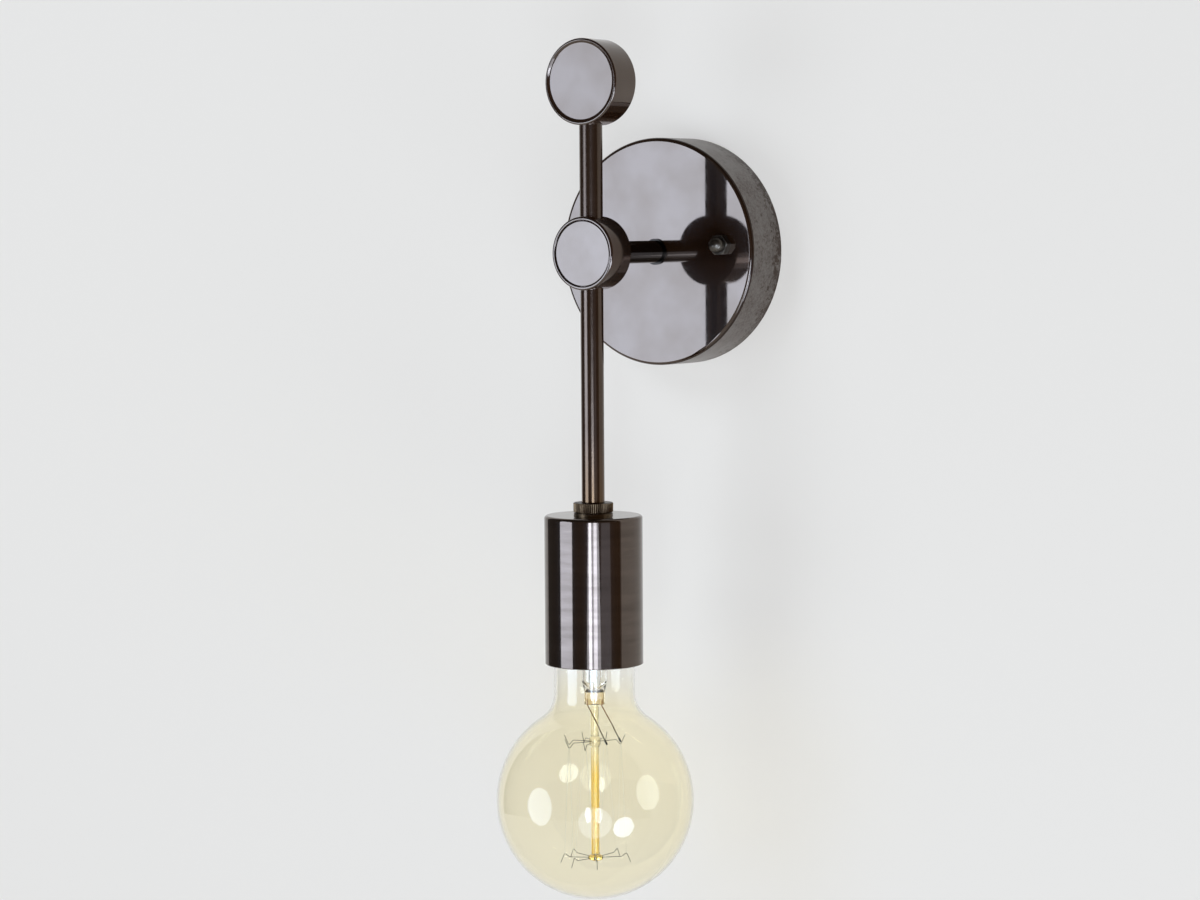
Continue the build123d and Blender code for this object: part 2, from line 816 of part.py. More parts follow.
nodes = {
    "wall_bar": make_wall_bar(),
    "stud_bar": make_stud_bar(),
    "bar_rivet": make_bar_rivet(),
    "canopy_studs": make_canopy_studs(),
    "stud_nuts": make_stud_nuts(),
    "ground_screw": make_ground_screw(),
    "terminal_block": make_terminal_block(),
    "block_screws": make_block_screws(),
    "canopy": make_canopy(),
    "cap_nuts": make_cap_nuts(),
    "arm_tube": make_arm_tube(),
    "arm_collar": make_arm_collar(),
    "arm_washer": make_arm_washer(),
    "arm_nut": make_arm_nut(),
    "hub_body": make_hub_body(),
    "hub_cover": make_hub_cover(),
    "upper_rod": make_upper_rod(),
    "top_knob": make_top_knob(),
    "lower_rod": make_lower_rod(),
    "knurled_ring": make_knurled_ring(),
    "socket_cup": make_socket_cup(),
    "holder_cap": make_holder_cap(),
    "holder_body": make_holder_body(),
    "screw_shell": make_screw_shell(),
    "centre_contact": make_centre_contact(),
    "holder_screws": make_holder_screws(),
    "line_wire": make_inner_wire(1, line_terminal_x),
    "neutral_wire": make_inner_wire(-1, neutral_terminal_x),
    "bulb_contact": make_bulb_contact(),
    "bulb_insulator": make_bulb_insulator(),
    "bulb_cap": make_bulb_cap(),
    "bulb_glass": make_bulb_glass(),
    "bulb_stem": make_bulb_stem(),
    "exhaust_tube": make_exhaust_tube(),
    "bulb_post": make_bulb_post(),
    "bulb_leads": make_bulb_leads(),
    "upper_supports": make_upper_supports(),
    "lower_supports": make_lower_supports(),
    "filament": make_filament(),
}

os.makedirs("parts", exist_ok=True)
for name, shape in nodes.items():
    export_step(shape, f"parts/{name}.step")
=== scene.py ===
import json
import math

import bmesh
import bpy
from mathutils import Matrix, Vector


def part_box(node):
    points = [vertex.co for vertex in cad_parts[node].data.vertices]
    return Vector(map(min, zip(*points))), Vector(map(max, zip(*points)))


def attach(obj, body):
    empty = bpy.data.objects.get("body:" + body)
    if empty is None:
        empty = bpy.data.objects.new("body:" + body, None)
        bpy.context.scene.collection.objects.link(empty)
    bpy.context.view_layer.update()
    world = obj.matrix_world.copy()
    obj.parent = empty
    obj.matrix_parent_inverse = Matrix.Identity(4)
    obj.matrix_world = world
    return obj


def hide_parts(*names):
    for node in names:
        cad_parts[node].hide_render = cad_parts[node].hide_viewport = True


# Cylinder wall sconce: finishes, threads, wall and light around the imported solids, in metres.
# +X right, -Y out of the wall, +Z up. Azimuth is counted from -Y towards +X.

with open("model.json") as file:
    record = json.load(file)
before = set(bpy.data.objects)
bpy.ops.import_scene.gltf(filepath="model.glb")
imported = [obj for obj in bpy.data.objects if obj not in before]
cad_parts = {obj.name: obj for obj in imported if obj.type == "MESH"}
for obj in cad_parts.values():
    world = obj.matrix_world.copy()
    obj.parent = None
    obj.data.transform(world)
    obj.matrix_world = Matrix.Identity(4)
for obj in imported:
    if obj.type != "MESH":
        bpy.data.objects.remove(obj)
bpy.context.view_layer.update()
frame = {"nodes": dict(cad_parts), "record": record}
nodes = frame["nodes"]
MM = 0.001

# Places read from the solids
rod_low, rod_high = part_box("lower_rod")
rod_axis = Vector(((rod_low.x + rod_high.x) / 2, (rod_low.y + rod_high.y) / 2, 0.0))
ring_low, ring_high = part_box("knurled_ring")
glass_low, glass_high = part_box("bulb_glass")
globe_r = (glass_high.x - glass_low.x) / 2
globe_centre = rod_axis + Vector((0.0, 0.0, glass_low.z + globe_r))
press_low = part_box("bulb_stem")[0].z
hooks_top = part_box("upper_supports")[1].z
leads_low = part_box("bulb_leads")[0].z

# Sockets of the nodes that mix two colours or two shaders
COLOUR_FIRST = 6
COLOUR_SECOND = 7
COLOUR_RESULT = 2
SHADER_FIRST = 1
SHADER_SECOND = 2

# Values that a noise texture mostly keeps between
NOISE_LOW = 0.3
NOISE_HIGH = 0.7


# Node materials
def mix_colours(tree, share, first, second):
    """Blend two colours by a share; each is an output or (red, green, blue)."""
    node = tree.nodes.new("ShaderNodeMix")
    node.data_type = "RGBA"
    tree.links.new(share, node.inputs["Factor"])
    for index, colour in ((COLOUR_FIRST, first), (COLOUR_SECOND, second)):
        if isinstance(colour, bpy.types.NodeSocket):
            tree.links.new(colour, node.inputs[index])
        else:
            node.inputs[index].default_value = (*colour, 1.0)
    return node.outputs[COLOUR_RESULT]


def mix_shaders(tree, share, first, second):
    """Blend two shaders by a share."""
    node = tree.nodes.new("ShaderNodeMixShader")
    tree.links.new(share, node.inputs["Fac"])
    tree.links.new(first, node.inputs[SHADER_FIRST])
    tree.links.new(second, node.inputs[SHADER_SECOND])
    return node.outputs["Shader"]


class Finish:
    """One Principled material with its textures in object coordinates, which are metres."""

    def __init__(self, name, **values):
        self.material = bpy.data.materials.new(name)
        self.material.use_nodes = True
        self.tree = self.material.node_tree
        self.shader = self.tree.nodes["Principled BSDF"]
        self.output = self.tree.nodes["Material Output"]
        coordinates = self.add("ShaderNodeTexCoord")
        self.place = coordinates.outputs["Object"]
        self.normal = coordinates.outputs["Normal"]
        for socket, value in values.items():
            self.put(socket.replace("_", " "), value)

    def add(self, kind, **settings):
        node = self.tree.nodes.new(kind)
        for key, value in settings.items():
            setattr(node, key, value)
        return node

    def join(self, source, target):
        self.tree.links.new(source, target)

    def put(self, socket, value):
        """Set a shader socket to a constant, or link it to another node's output."""
        target = self.shader.inputs[socket]
        if isinstance(value, bpy.types.NodeSocket):
            self.join(value, target)
        elif isinstance(value, tuple):
            target.default_value = (*value, 1.0)
        else:
            target.default_value = value

    def linked(self, socket):
        """Output that a shader socket is linked to."""
        return self.shader.inputs[socket].links[0].from_socket

    def noise(self, scale, detail=2.0, stretch=(1.0, 1.0, 1.0), roughness=0.5):
        mapping = self.add("ShaderNodeMapping")
        mapping.inputs["Scale"].default_value = stretch
        self.join(self.place, mapping.inputs["Vector"])
        texture = self.add("ShaderNodeTexNoise")
        texture.inputs["Scale"].default_value = scale
        texture.inputs["Detail"].default_value = detail
        texture.inputs["Roughness"].default_value = roughness
        self.join(mapping.outputs["Vector"], texture.inputs["Vector"])
        return texture.outputs["Fac"]

    def colours(self, source, dark, light, low=NOISE_LOW, high=NOISE_HIGH):
        """Change from a first to a second colour between two values of a source."""
        node = self.add("ShaderNodeValToRGB")
        for element, position, colour in zip(node.color_ramp.elements, (low, high), (dark, light)):
            element.position = position
            element.color = (*colour, 1.0)
        self.join(source, node.inputs["Fac"])
        return node.outputs["Color"]

    def span(self, source, low, high, to_low=0.0, to_high=1.0):
        """Map a value's range to another, held at the ends."""
        node = self.add("ShaderNodeMapRange", clamp=True)
        node.inputs["From Min"].default_value = low
        node.inputs["From Max"].default_value = high
        node.inputs["To Min"].default_value = to_low
        node.inputs["To Max"].default_value = to_high
        self.join(source, node.inputs["Value"])
        return node.outputs["Result"]

    def mottle(self, texture, dark, light, low=NOISE_LOW, high=NOISE_HIGH):
        """Vary the base colour along a texture."""
        self.put("Base Color", self.colours(texture, dark, light, low, high))

    def roughen(self, texture, smooth, dull):
        """Vary the roughness along a texture."""
        self.put("Roughness", self.span(texture, NOISE_LOW, NOISE_HIGH, smooth, dull))

    def part(self, vector, axis):
        node = self.add("ShaderNodeSeparateXYZ")
        self.join(vector, node.inputs["Vector"])
        return node.outputs[axis]

    def value(self, operation, first, second=0.0):
        node = self.add("ShaderNodeMath", operation=operation)
        for socket, source in zip(node.inputs, (first, second)):
            if isinstance(source, bpy.types.NodeSocket):
                self.join(source, socket)
            else:
                socket.default_value = source
        return node.outputs["Value"]

    def mixed(self, share, first, second):
        """Blend two colours, or two values' outputs, by a share."""
        return mix_colours(self.tree, share, first, second)

    def bump(self, height, depth):
        """Add a relief to those that the surface already has."""
        node = self.add("ShaderNodeBump")
        node.inputs["Distance"].default_value = depth
        if self.shader.inputs["Normal"].links:
            self.join(self.linked("Normal"), node.inputs["Normal"])
        self.join(height, node.inputs["Height"])
        self.put("Normal", node.outputs["Normal"])

    def facing_out(self):
        """Part of the normal that points out of the wall: 1 on a front, 0 round a side."""
        return self.value("MULTIPLY", self.part(self.normal, "Y"), -1.0)

    def axis_distance(self, centre):
        """Distance from the vertical line through a centre."""
        across = self.value("SUBTRACT", self.part(self.place, "X"), centre.x)
        out = self.value("SUBTRACT", self.part(self.place, "Y"), centre.y)
        squares = self.value("ADD", self.value("MULTIPLY", across, across), self.value("MULTIPLY", out, out))
        return self.value("SQRT", squares)


# Bronze; a tint multiplies its two tones
BRONZE_DARK = (0.092, 0.074, 0.061)
BRONZE_LIGHT = (0.108, 0.089, 0.076)
BRONZE_HAZE = (1.0, 0.38, 0.14)
BRONZE_HAIRLINES = (1.0, 1.0, 0.05)
KNOB_TINT = (0.94, 0.94, 0.94)
COVER_TINT = (1.10, 1.10, 1.10)
UPPER_ROD_TINT = (0.64, 0.60, 0.56)
LOWER_ROD_TINT = (0.76, 0.71, 0.66)
ARM_TINT = (0.90, 1.00, 1.10)
# Painted shade: the collar is darkened like the shade in the arm's joint at the canopy
COLLAR_SHADE_TINT = (0.18, 0.18, 0.18)
# Painted dark reflection round the hub's side
HUB_SIDE_PAINTED_REFLECTION = (0.058, 0.040, 0.030)
RUBBED_BROWN = (0.092, 0.058, 0.032)
RUBBED_HEIGHT = 34 * MM
CUP_DARK = (0.084, 0.066, 0.054)
CUP_LIGHT = (0.122, 0.097, 0.082)
CUP_BANDS = (1.0, 1.0, 9.0)
CUP_WAVES = (1.0, 1.0, 0.45)
# Painted dark reflection for the canopy's rounded edge
RIM_PAINTED_REFLECTION = (0.026, 0.021, 0.018)
SATIN_DARK = (0.044, 0.037, 0.032)
SATIN_LIGHT = (0.180, 0.166, 0.156)
SATIN_PATCH = (0.215, 0.212, 0.202)
SPECK_BROWN = (0.035, 0.026, 0.020)
SPECK_REACH = 12 * MM


def bronze_finish(name, smooth=0.03, dull=0.07, haze=0.006, tint=(1.0, 1.0, 1.0)):
    """Polished dark bronze under a thin hazy lacquer: cloudy tone, faint waves and hairlines."""
    dark = tuple(share * channel for share, channel in zip(tint, BRONZE_DARK))
    light = tuple(share * channel for share, channel in zip(tint, BRONZE_LIGHT))
    finish = Finish(name, Metallic=1.0, Coat_Weight=0.14, Coat_Roughness=0.30, Sheen_Weight=haze,
                    Sheen_Roughness=1.0, Sheen_Tint=BRONZE_HAZE)
    finish.mottle(finish.noise(45, detail=3), dark, light, low=0.35, high=0.65)
    finish.roughen(finish.noise(260, detail=4), smooth, dull)
    finish.bump(finish.noise(22, detail=1), depth=0.02 * MM)
    finish.bump(finish.noise(900, stretch=BRONZE_HAIRLINES), depth=0.0004 * MM)
    return finish


def canopy_finish():
    """Polished front whose rounded edge carries a painted dark reflection; the drum's side is satin, with
    dark brown specks that grow denser towards the wall.
    """
    finish = bronze_finish("canopy_bronze", haze=0.023)
    facing = finish.facing_out()
    front = finish.span(facing, 0.04, 0.16)
    flat = finish.span(facing, 0.55, 0.95)
    # Painted dark reflection on the rounded edge, where the front turns into the side
    polished = finish.mixed(flat, RIM_PAINTED_REFLECTION, finish.linked("Base Color"))
    gloss = finish.linked("Roughness")
    grain = finish.noise(800, detail=5, roughness=0.75)
    satin = finish.colours(grain, SATIN_DARK, SATIN_LIGHT, low=0.36, high=0.64)
    patches = finish.span(finish.noise(90, detail=4, roughness=0.7), 0.42, 0.64, to_high=0.40)
    satin = finish.mixed(patches, satin, SATIN_PATCH)
    # Dark brown specks on the side, denser towards the wall
    to_wall = finish.span(finish.part(finish.place, "Y"), -SPECK_REACH, 0.0, to_low=-0.02, to_high=0.17)
    specks = finish.value("ADD", finish.noise(330, detail=5, roughness=0.8), to_wall)
    brown_specks = finish.span(specks, 0.59, 0.64)
    satin = finish.mixed(brown_specks, satin, SPECK_BROWN)
    finish.put("Base Color", finish.mixed(front, satin, polished))
    rough = finish.span(grain, NOISE_LOW, NOISE_HIGH, to_low=0.30, to_high=0.44)
    finish.put("Roughness", finish.mixed(front, rough, gloss))
    side = finish.value("SUBTRACT", 1.0, front)
    finish.bump(finish.value("MULTIPLY", grain, side), depth=0.04 * MM)
    return finish.material


def hub_finish():
    """Polished on the rim's front; round the side a darker, browner base colour paints a dark reflection."""
    finish = bronze_finish("hub_bronze", haze=0.014)
    front = finish.span(finish.facing_out(), 0.15, 0.65)
    finish.put("Base Color", finish.mixed(front, HUB_SIDE_PAINTED_REFLECTION, finish.linked("Base Color")))
    return finish.material


def lower_rod_finish():
    """Dark bronze that is rubbed to a warmer brown above the ring."""
    finish = bronze_finish("lower_rod_bronze", smooth=0.13, dull=0.16, haze=0.026, tint=LOWER_ROD_TINT)
    height = finish.part(finish.place, "Z")
    rubbed = finish.span(height, ring_high.z, ring_high.z + RUBBED_HEIGHT, to_low=1.0, to_high=0.0)
    finish.put("Base Color", finish.mixed(rubbed, finish.linked("Base Color"), RUBBED_BROWN))
    return finish.material


def cup_finish():
    """Spun cup: bands of tone left by the lathe, and a wall that is not quite even."""
    finish = bronze_finish("cup_bronze", smooth=0.04, dull=0.09)
    bands = finish.noise(26, detail=4, stretch=CUP_BANDS, roughness=0.65)
    finish.mottle(bands, CUP_DARK, CUP_LIGHT, low=0.32, high=0.68)
    finish.bump(finish.noise(70, detail=1, stretch=CUP_WAVES), depth=0.03 * MM)
    return finish.material


# Other metals
KNURL_DARK = (0.040, 0.026, 0.015)
KNURL_LIGHT = (0.185, 0.130, 0.078)
KNURL_DEPTH = 0.4 * MM
STEEL_DARK = (0.045, 0.040, 0.036)
STEEL_LIGHT = (0.090, 0.083, 0.075)
STEEL_HEIGHT = 2 * MM
COPPER_DARK = (0.190, 0.085, 0.034)
COPPER_LIGHT = (0.330, 0.150, 0.060)
COPPER_HEIGHT = 14 * MM
DRAWN_LINES = (1.0, 1.0, 0.1)
WIRE_SPREAD = 0.08


def nut_finish():
    """Dark satin nickel with fine spots."""
    finish = Finish("dark_nickel", Metallic=1.0)
    spots = finish.noise(900, detail=4, roughness=0.65)
    finish.mottle(spots, dark=(0.075, 0.067, 0.056), light=(0.125, 0.112, 0.094))
    finish.roughen(spots, smooth=0.30, dull=0.42)
    finish.bump(finish.noise(2500), depth=0.006 * MM)
    return finish.material


def antique_brass_finish():
    """Brown brass, rubbed on the knurl's crests and dark in its grooves."""
    finish = Finish("antique_brass", Metallic=1.0)
    crest = (ring_high.x - ring_low.x) / 2
    height = finish.span(finish.axis_distance(rod_axis), crest - KNURL_DEPTH, crest)
    rubbing = finish.span(finish.noise(500, detail=3), NOISE_LOW, NOISE_HIGH, to_low=0.7)
    worn = finish.value("MULTIPLY", height, rubbing)
    finish.mottle(worn, KNURL_DARK, KNURL_LIGHT, low=0.0, high=1.0)
    finish.roughen(finish.noise(700, detail=3), smooth=0.32, dull=0.48)
    finish.bump(finish.noise(1800, detail=3), depth=0.01 * MM)
    return finish.material


def zinc_finish():
    """Zinc-plated steel with a faint spangle."""
    finish = Finish("zinc_steel", Metallic=1.0)
    spangle = finish.noise(160, detail=4, roughness=0.65)
    finish.mottle(spangle, dark=(0.50, 0.49, 0.46), light=(0.66, 0.66, 0.66))
    finish.roughen(spangle, smooth=0.28, dull=0.45)
    finish.bump(finish.noise(1400, detail=3), depth=0.01 * MM)
    return finish.material


def brass_finish():
    """Bright brass with fine upright lines."""
    finish = Finish("plain_brass", Metallic=1.0)
    finish.mottle(finish.noise(220, detail=3), dark=(0.62, 0.44, 0.18), light=(0.78, 0.59, 0.28))
    finish.roughen(finish.noise(600, detail=3), smooth=0.22, dull=0.36)
    finish.bump(finish.noise(2200, stretch=DRAWN_LINES), depth=0.004 * MM)
    return finish.material


def earth_green_finish():
    """Green coating of the earth screw."""
    finish = Finish("earth_green", Metallic=0.7)
    finish.mottle(finish.noise(400, detail=3), dark=(0.02, 0.17, 0.05), light=(0.05, 0.30, 0.10))
    finish.roughen(finish.noise(900, detail=3), smooth=0.28, dull=0.42)
    finish.bump(finish.noise(1800, detail=3), depth=0.01 * MM)
    return finish.material


def plated_finish():
    """Pale plating of the bulb's cap."""
    finish = Finish("base_metal", Metallic=1.0)
    finish.mottle(finish.noise(180, detail=3), dark=(0.60, 0.58, 0.53), light=(0.74, 0.72, 0.68))
    finish.roughen(finish.noise(500, detail=3), smooth=0.16, dull=0.30)
    finish.bump(finish.noise(1500), depth=0.006 * MM)
    return finish.material


def solder_finish():
    """Lumpy grey solder."""
    finish = Finish("solder", Metallic=1.0)
    finish.mottle(finish.noise(700, detail=3), dark=(0.42, 0.42, 0.43), light=(0.62, 0.62, 0.62))
    finish.roughen(finish.noise(900, detail=3), smooth=0.25, dull=0.5)
    finish.bump(finish.noise(600, detail=3), depth=0.12 * MM)
    return finish.material


def wire_finish(name, dark, light, roughness):
    """Drawn wire with fine upright lines."""
    finish = Finish(name, Metallic=1.0)
    finish.mottle(finish.noise(900), dark, light)
    finish.roughen(finish.noise(1500), roughness - WIRE_SPREAD, roughness + WIRE_SPREAD)
    finish.bump(finish.noise(3000, stretch=DRAWN_LINES), depth=0.004 * MM)
    return finish


def lead_finish():
    """Coppery near the glass, dark steel towards the clamps."""
    finish = wire_finish("lead_wire", COPPER_DARK, COPPER_LIGHT, roughness=0.36)
    steel = finish.colours(finish.noise(900), STEEL_DARK, STEEL_LIGHT)
    height = finish.part(finish.place, "Z")
    bare = finish.span(height, leads_low + STEEL_HEIGHT, leads_low + COPPER_HEIGHT, to_low=1.0, to_high=0.0)
    finish.put("Base Color", finish.mixed(bare, finish.linked("Base Color"), steel))
    return finish.material


# Plastics and glass; the globe's low index keeps its edge as faint as in the photograph
MOULDED_SMOOTHER = 0.05
MOULDED_DULLER = 0.08
GLASS_CLEAR = (0.990, 0.990, 0.980)
GLASS_STRAW = (0.990, 0.957, 0.832)
GLASS_HONEY = (0.970, 0.895, 0.680)
GLASS_AMBER = (0.935, 0.670, 0.180)
GLASS_PRESS = (0.860, 0.720, 0.470)
GLOBE_IOR = 1.33
GLASS_IOR = 1.5
SWAY_SHARE = 0.1
NECK_GLOBES = 1.06
NECK_FADE = 26 * MM
PRESS_HEIGHT = 7.5 * MM
PRESS_FADE = 2 * MM
POST_DROP = 12 * MM
POST_FADE = 16 * MM
neck_middle = glass_low.z + NECK_GLOBES * 2 * globe_r


def moulded_finish(name, dark, light, roughness, grain):
    """Moulded plastic with a little mottling and an orange-peel skin."""
    finish = Finish(name)
    finish.mottle(finish.noise(300, detail=3), dark, light)
    finish.roughen(finish.noise(500), roughness - MOULDED_SMOOTHER, roughness + MOULDED_DULLER)
    finish.bump(finish.noise(grain, detail=3), depth=0.02 * MM)
    return finish.material


def let_lamps_through(finish, tint):
    """Glass casts no hard shadow: lamps shine through it with its tint."""
    path = finish.add("ShaderNodeLightPath")
    clear = finish.add("ShaderNodeBsdfTransparent")
    finish.join(tint, clear.inputs["Color"])
    surface = mix_shaders(finish.tree, path.outputs["Is Shadow Ray"],
                          finish.shader.outputs["BSDF"], clear.outputs["BSDF"])
    finish.join(surface, finish.output.inputs["Surface"])


def glass_finish(name, ior, upper, lower, change, fade, waves, depth):
    """Clear glass whose tint changes from an upper to a lower colour over a fade at a height."""
    finish = Finish(name, Transmission_Weight=1.0, IOR=ior, Roughness=0.0)
    sway = finish.span(finish.noise(30), NOISE_LOW, NOISE_HIGH, -SWAY_SHARE * fade, SWAY_SHARE * fade)
    height = finish.value("ADD", finish.part(finish.place, "Z"), sway)
    share = finish.span(height, change - fade / 2, change + fade / 2)
    tint = finish.colours(share, lower, upper, low=0.0, high=1.0)
    finish.put("Base Color", tint)
    finish.bump(finish.noise(waves), depth)
    let_lamps_through(finish, tint)
    return finish.material


# Finishes by the record's material slots
finishes = {
    "antique_brass": antique_brass_finish(),
    "zinc_steel": zinc_finish(),
    "earth_green": earth_green_finish(),
    "plain_brass": brass_finish(),
    "white_nylon": moulded_finish("white_nylon", dark=(0.66, 0.65, 0.60), light=(0.76, 0.75, 0.71),
                                  roughness=0.45, grain=1200),
    "phenolic": moulded_finish("phenolic", dark=(0.010, 0.008, 0.007), light=(0.022, 0.017, 0.014),
                               roughness=0.32, grain=900),
    "black_wire": moulded_finish("black_wire", dark=(0.010, 0.010, 0.011), light=(0.018, 0.018, 0.020),
                                 roughness=0.42, grain=1600),
    "white_wire": moulded_finish("white_wire", dark=(0.62, 0.61, 0.58), light=(0.72, 0.71, 0.68),
                                 roughness=0.42, grain=1600),
    "solder": solder_finish(),
    "black_glass": moulded_finish("black_glass", dark=(0.006, 0.005, 0.008), light=(0.013, 0.011, 0.016),
                                  roughness=0.09, grain=400),
    "base_metal": plated_finish(),
    "amber_glass": glass_finish("amber_glass", GLOBE_IOR, GLASS_CLEAR, GLASS_STRAW, neck_middle, NECK_FADE,
                                waves=25, depth=0.015 * MM),
    "clear_glass": glass_finish("clear_glass", GLASS_IOR, GLASS_CLEAR, GLASS_PRESS,
                                press_low + PRESS_HEIGHT, PRESS_FADE, waves=260, depth=0.01 * MM),
    "post_glass": glass_finish("post_glass", GLASS_IOR, GLASS_HONEY, GLASS_AMBER,
                               hooks_top - POST_DROP, POST_FADE, waves=300, depth=0.01 * MM),
    "mount_wire": wire_finish("mount_wire", STEEL_DARK, STEEL_LIGHT, roughness=0.40).material,
    "filament_wire": wire_finish("filament_wire", dark=(0.50, 0.46, 0.38), light=(0.62, 0.58, 0.49),
                                 roughness=0.50).material,
}

# Finishes of single pieces: all that are bronze in the record, and the leads
own_finishes = {
    "canopy": canopy_finish(),
    "top_knob": bronze_finish("knob_bronze", haze=0.022, tint=KNOB_TINT).material,
    "hub_cover": bronze_finish("cover_bronze", tint=COVER_TINT).material,
    "hub_body": hub_finish(),
    "upper_rod": bronze_finish("upper_rod_bronze", smooth=0.20, dull=0.23, haze=0.024,
                               tint=UPPER_ROD_TINT).material,
    "lower_rod": lower_rod_finish(),
    "arm_tube": bronze_finish("arm_bronze", smooth=0.02, dull=0.05, haze=0.0, tint=ARM_TINT).material,
    # The collar's dark tint is painted shade at the arm's joint
    "arm_collar": bronze_finish("collar_bronze", smooth=0.10, dull=0.20, haze=0.0,
                                tint=COLLAR_SHADE_TINT).material,
    "socket_cup": cup_finish(),
    "cap_nuts": nut_finish(),
    "bulb_leads": lead_finish(),
}

for part in frame["record"]["subparts"]:
    name = part["node"]
    surface = nodes[name].data
    surface.materials.clear()
    if name in own_finishes:
        surface.materials.append(own_finishes[name])
    else:
        surface.materials.append(finishes[part["material_slot"]])


# Pieces with real threads, in place of their plain solids
BASE_PITCH = 25.4 / 7 * MM
BASE_THREAD = 0.75 * MM
BASE_SHOULDER = 3.5 * MM
BASE_SKIRT = 0.5 * MM
BASE_SKIRT_HEIGHT = 1.0 * MM
BASE_WALL = 0.5 * MM
BASE_THREAD_END = 6.5 * MM
BASE_SEGMENTS = 128
SHELL_THREAD = 0.3 * MM
SHELL_WALL = 0.25 * MM
SHELL_ROOF = 0.6 * MM
SHELL_HOLE_R = 8.0 * MM
STUD_PITCH = 25.4 / 32 * MM
STUD_THREAD = 0.42 * MM
STUD_R = 2.085 * MM
STUD_HEAD_R = 4.0 * MM
STUD_HEAD = 1.5 * MM
STUD_TIP = 0.6 * MM
STUD_SEGMENTS = 40
ROWS_PER_TURN = 12
WELD_DISTANCE = 1e-7
SHARP_ANGLE = 35


def rolled(turns):
    """Depth of a rolled thread at a point, from 0 on the crest to 1 in the root."""
    return 0.5 - 0.5 * math.cos(math.tau * turns)


def cut(turns):
    """Depth of a cut V thread at a point, from 0 on the crest to 1 in the root."""
    return 1.0 - abs(2.0 * (turns % 1.0) - 1.0)


def lathe(mesh, profile, place, segments, thread, pitch, depth, start, stop):
    """Turn a closed profile of (radius, height), with a right-hand thread let in between two heights."""
    rows = []
    for index, (radius, height) in enumerate(profile):
        next_radius, next_height = profile[(index + 1) % len(profile)]
        threaded = start <= min(height, next_height) and max(height, next_height) <= stop
        count = max(1, round(ROWS_PER_TURN * abs(next_height - height) / pitch)) if threaded else 1
        for step in range(count):
            share = step / count
            rows.append((radius + share * (next_radius - radius), height + share * (next_height - height)))
    rings = []
    for radius, height in rows:
        fade = min(1.0, max(0.0, (height - start) / pitch), max(0.0, (stop - height) / pitch))
        ring = []
        for step in range(segments):
            turn = step / segments
            angle = math.tau * turn
            reach = radius - depth * fade * thread(height / pitch - turn)
            point = Vector((reach * math.cos(angle), reach * math.sin(angle), height))
            ring.append(mesh.verts.new(place @ point))
        rings.append(ring)
    for index, ring in enumerate(rings):
        following = rings[(index + 1) % len(rings)]
        for step in range(segments):
            after = (step + 1) % segments
            mesh.faces.new((ring[step], following[step], following[after], ring[after]))


def piece(name, mesh, body, slot, *replaced):
    """Make a smooth-shaded piece of a mesh, riding a body in place of CAD nodes."""
    bmesh.ops.remove_doubles(mesh, verts=mesh.verts, dist=WELD_DISTANCE)
    bmesh.ops.recalc_face_normals(mesh, faces=mesh.faces)
    data = bpy.data.meshes.new(name)
    mesh.to_mesh(data)
    mesh.free()
    data.shade_smooth()
    data.set_sharp_from_angle(angle=math.radians(SHARP_ANGLE))
    data.materials.append(finishes[slot])
    made = bpy.data.objects.new(name, data)
    bpy.context.scene.collection.objects.link(made)
    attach(made, body)
    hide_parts(*replaced)


def add_bulb_base():
    """Screw cap of the bulb with a rolled thread."""
    low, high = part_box("bulb_cap")
    lip_low, lip_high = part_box("bulb_insulator")
    lip_r = (lip_high.x - lip_low.x) / 2
    skirt_r = (high.x - low.x) / 2
    outer = skirt_r - BASE_SKIRT
    inner = outer - BASE_WALL
    shoulder = high.z - BASE_SHOULDER
    thread_low = low.z + BASE_THREAD_END
    profile = [(lip_r, high.z), (outer, shoulder), (outer, thread_low),
               (outer, low.z + 2 * BASE_SKIRT_HEIGHT), (skirt_r, low.z + BASE_SKIRT_HEIGHT),
               (skirt_r, low.z), (inner, low.z), (inner, thread_low),
               (inner, shoulder), (lip_r, high.z - BASE_WALL)]
    mesh = bmesh.new()
    lathe(mesh, profile, Matrix.Translation(rod_axis), BASE_SEGMENTS, rolled,
          BASE_PITCH, BASE_THREAD, thread_low, shoulder)
    piece("bulb_base", mesh, "bulb", "base_metal", "bulb_cap")


def add_socket_shell():
    """Screw shell of the lamp holder, its rolled thread showing inside and out."""
    low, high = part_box("screw_shell")
    outer = (high.x - low.x) / 2
    inner = outer - SHELL_WALL
    roof = high.z - SHELL_ROOF
    profile = [(SHELL_HOLE_R, high.z), (outer, high.z), (outer, roof), (outer, low.z),
               (inner, low.z), (inner, roof), (SHELL_HOLE_R, roof)]
    mesh = bmesh.new()
    lathe(mesh, profile, Matrix.Translation(rod_axis), BASE_SEGMENTS, rolled,
          BASE_PITCH, SHELL_THREAD, low.z, roof)
    piece("socket_shell", mesh, "fixture", "plain_brass", "screw_shell")


def add_studs():
    """Two headed studs with cut threads."""
    low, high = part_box("canopy_studs")
    head, tip = -high.y, -low.y
    across, lift = high.x - STUD_HEAD_R, high.z - STUD_HEAD_R
    seat = head + STUD_HEAD
    thread_end = tip - STUD_TIP
    profile = [(0.0, head), (STUD_HEAD_R, head), (STUD_HEAD_R, seat), (STUD_R, seat), (STUD_R, thread_end),
               (STUD_R - STUD_THREAD, tip), (0.0, tip)]
    outwards = Matrix.Rotation(math.radians(90), 4, "X")
    mesh = bmesh.new()
    for side in (-1, 1):
        place = Matrix.Translation((side * across, 0.0, side * lift)) @ outwards
        lathe(mesh, profile, place, STUD_SEGMENTS, cut, STUD_PITCH, STUD_THREAD, seat, thread_end)
    piece("threaded_studs", mesh, "fixture", "zinc_steel", "canopy_studs")


add_bulb_base()
add_socket_shell()
add_studs()

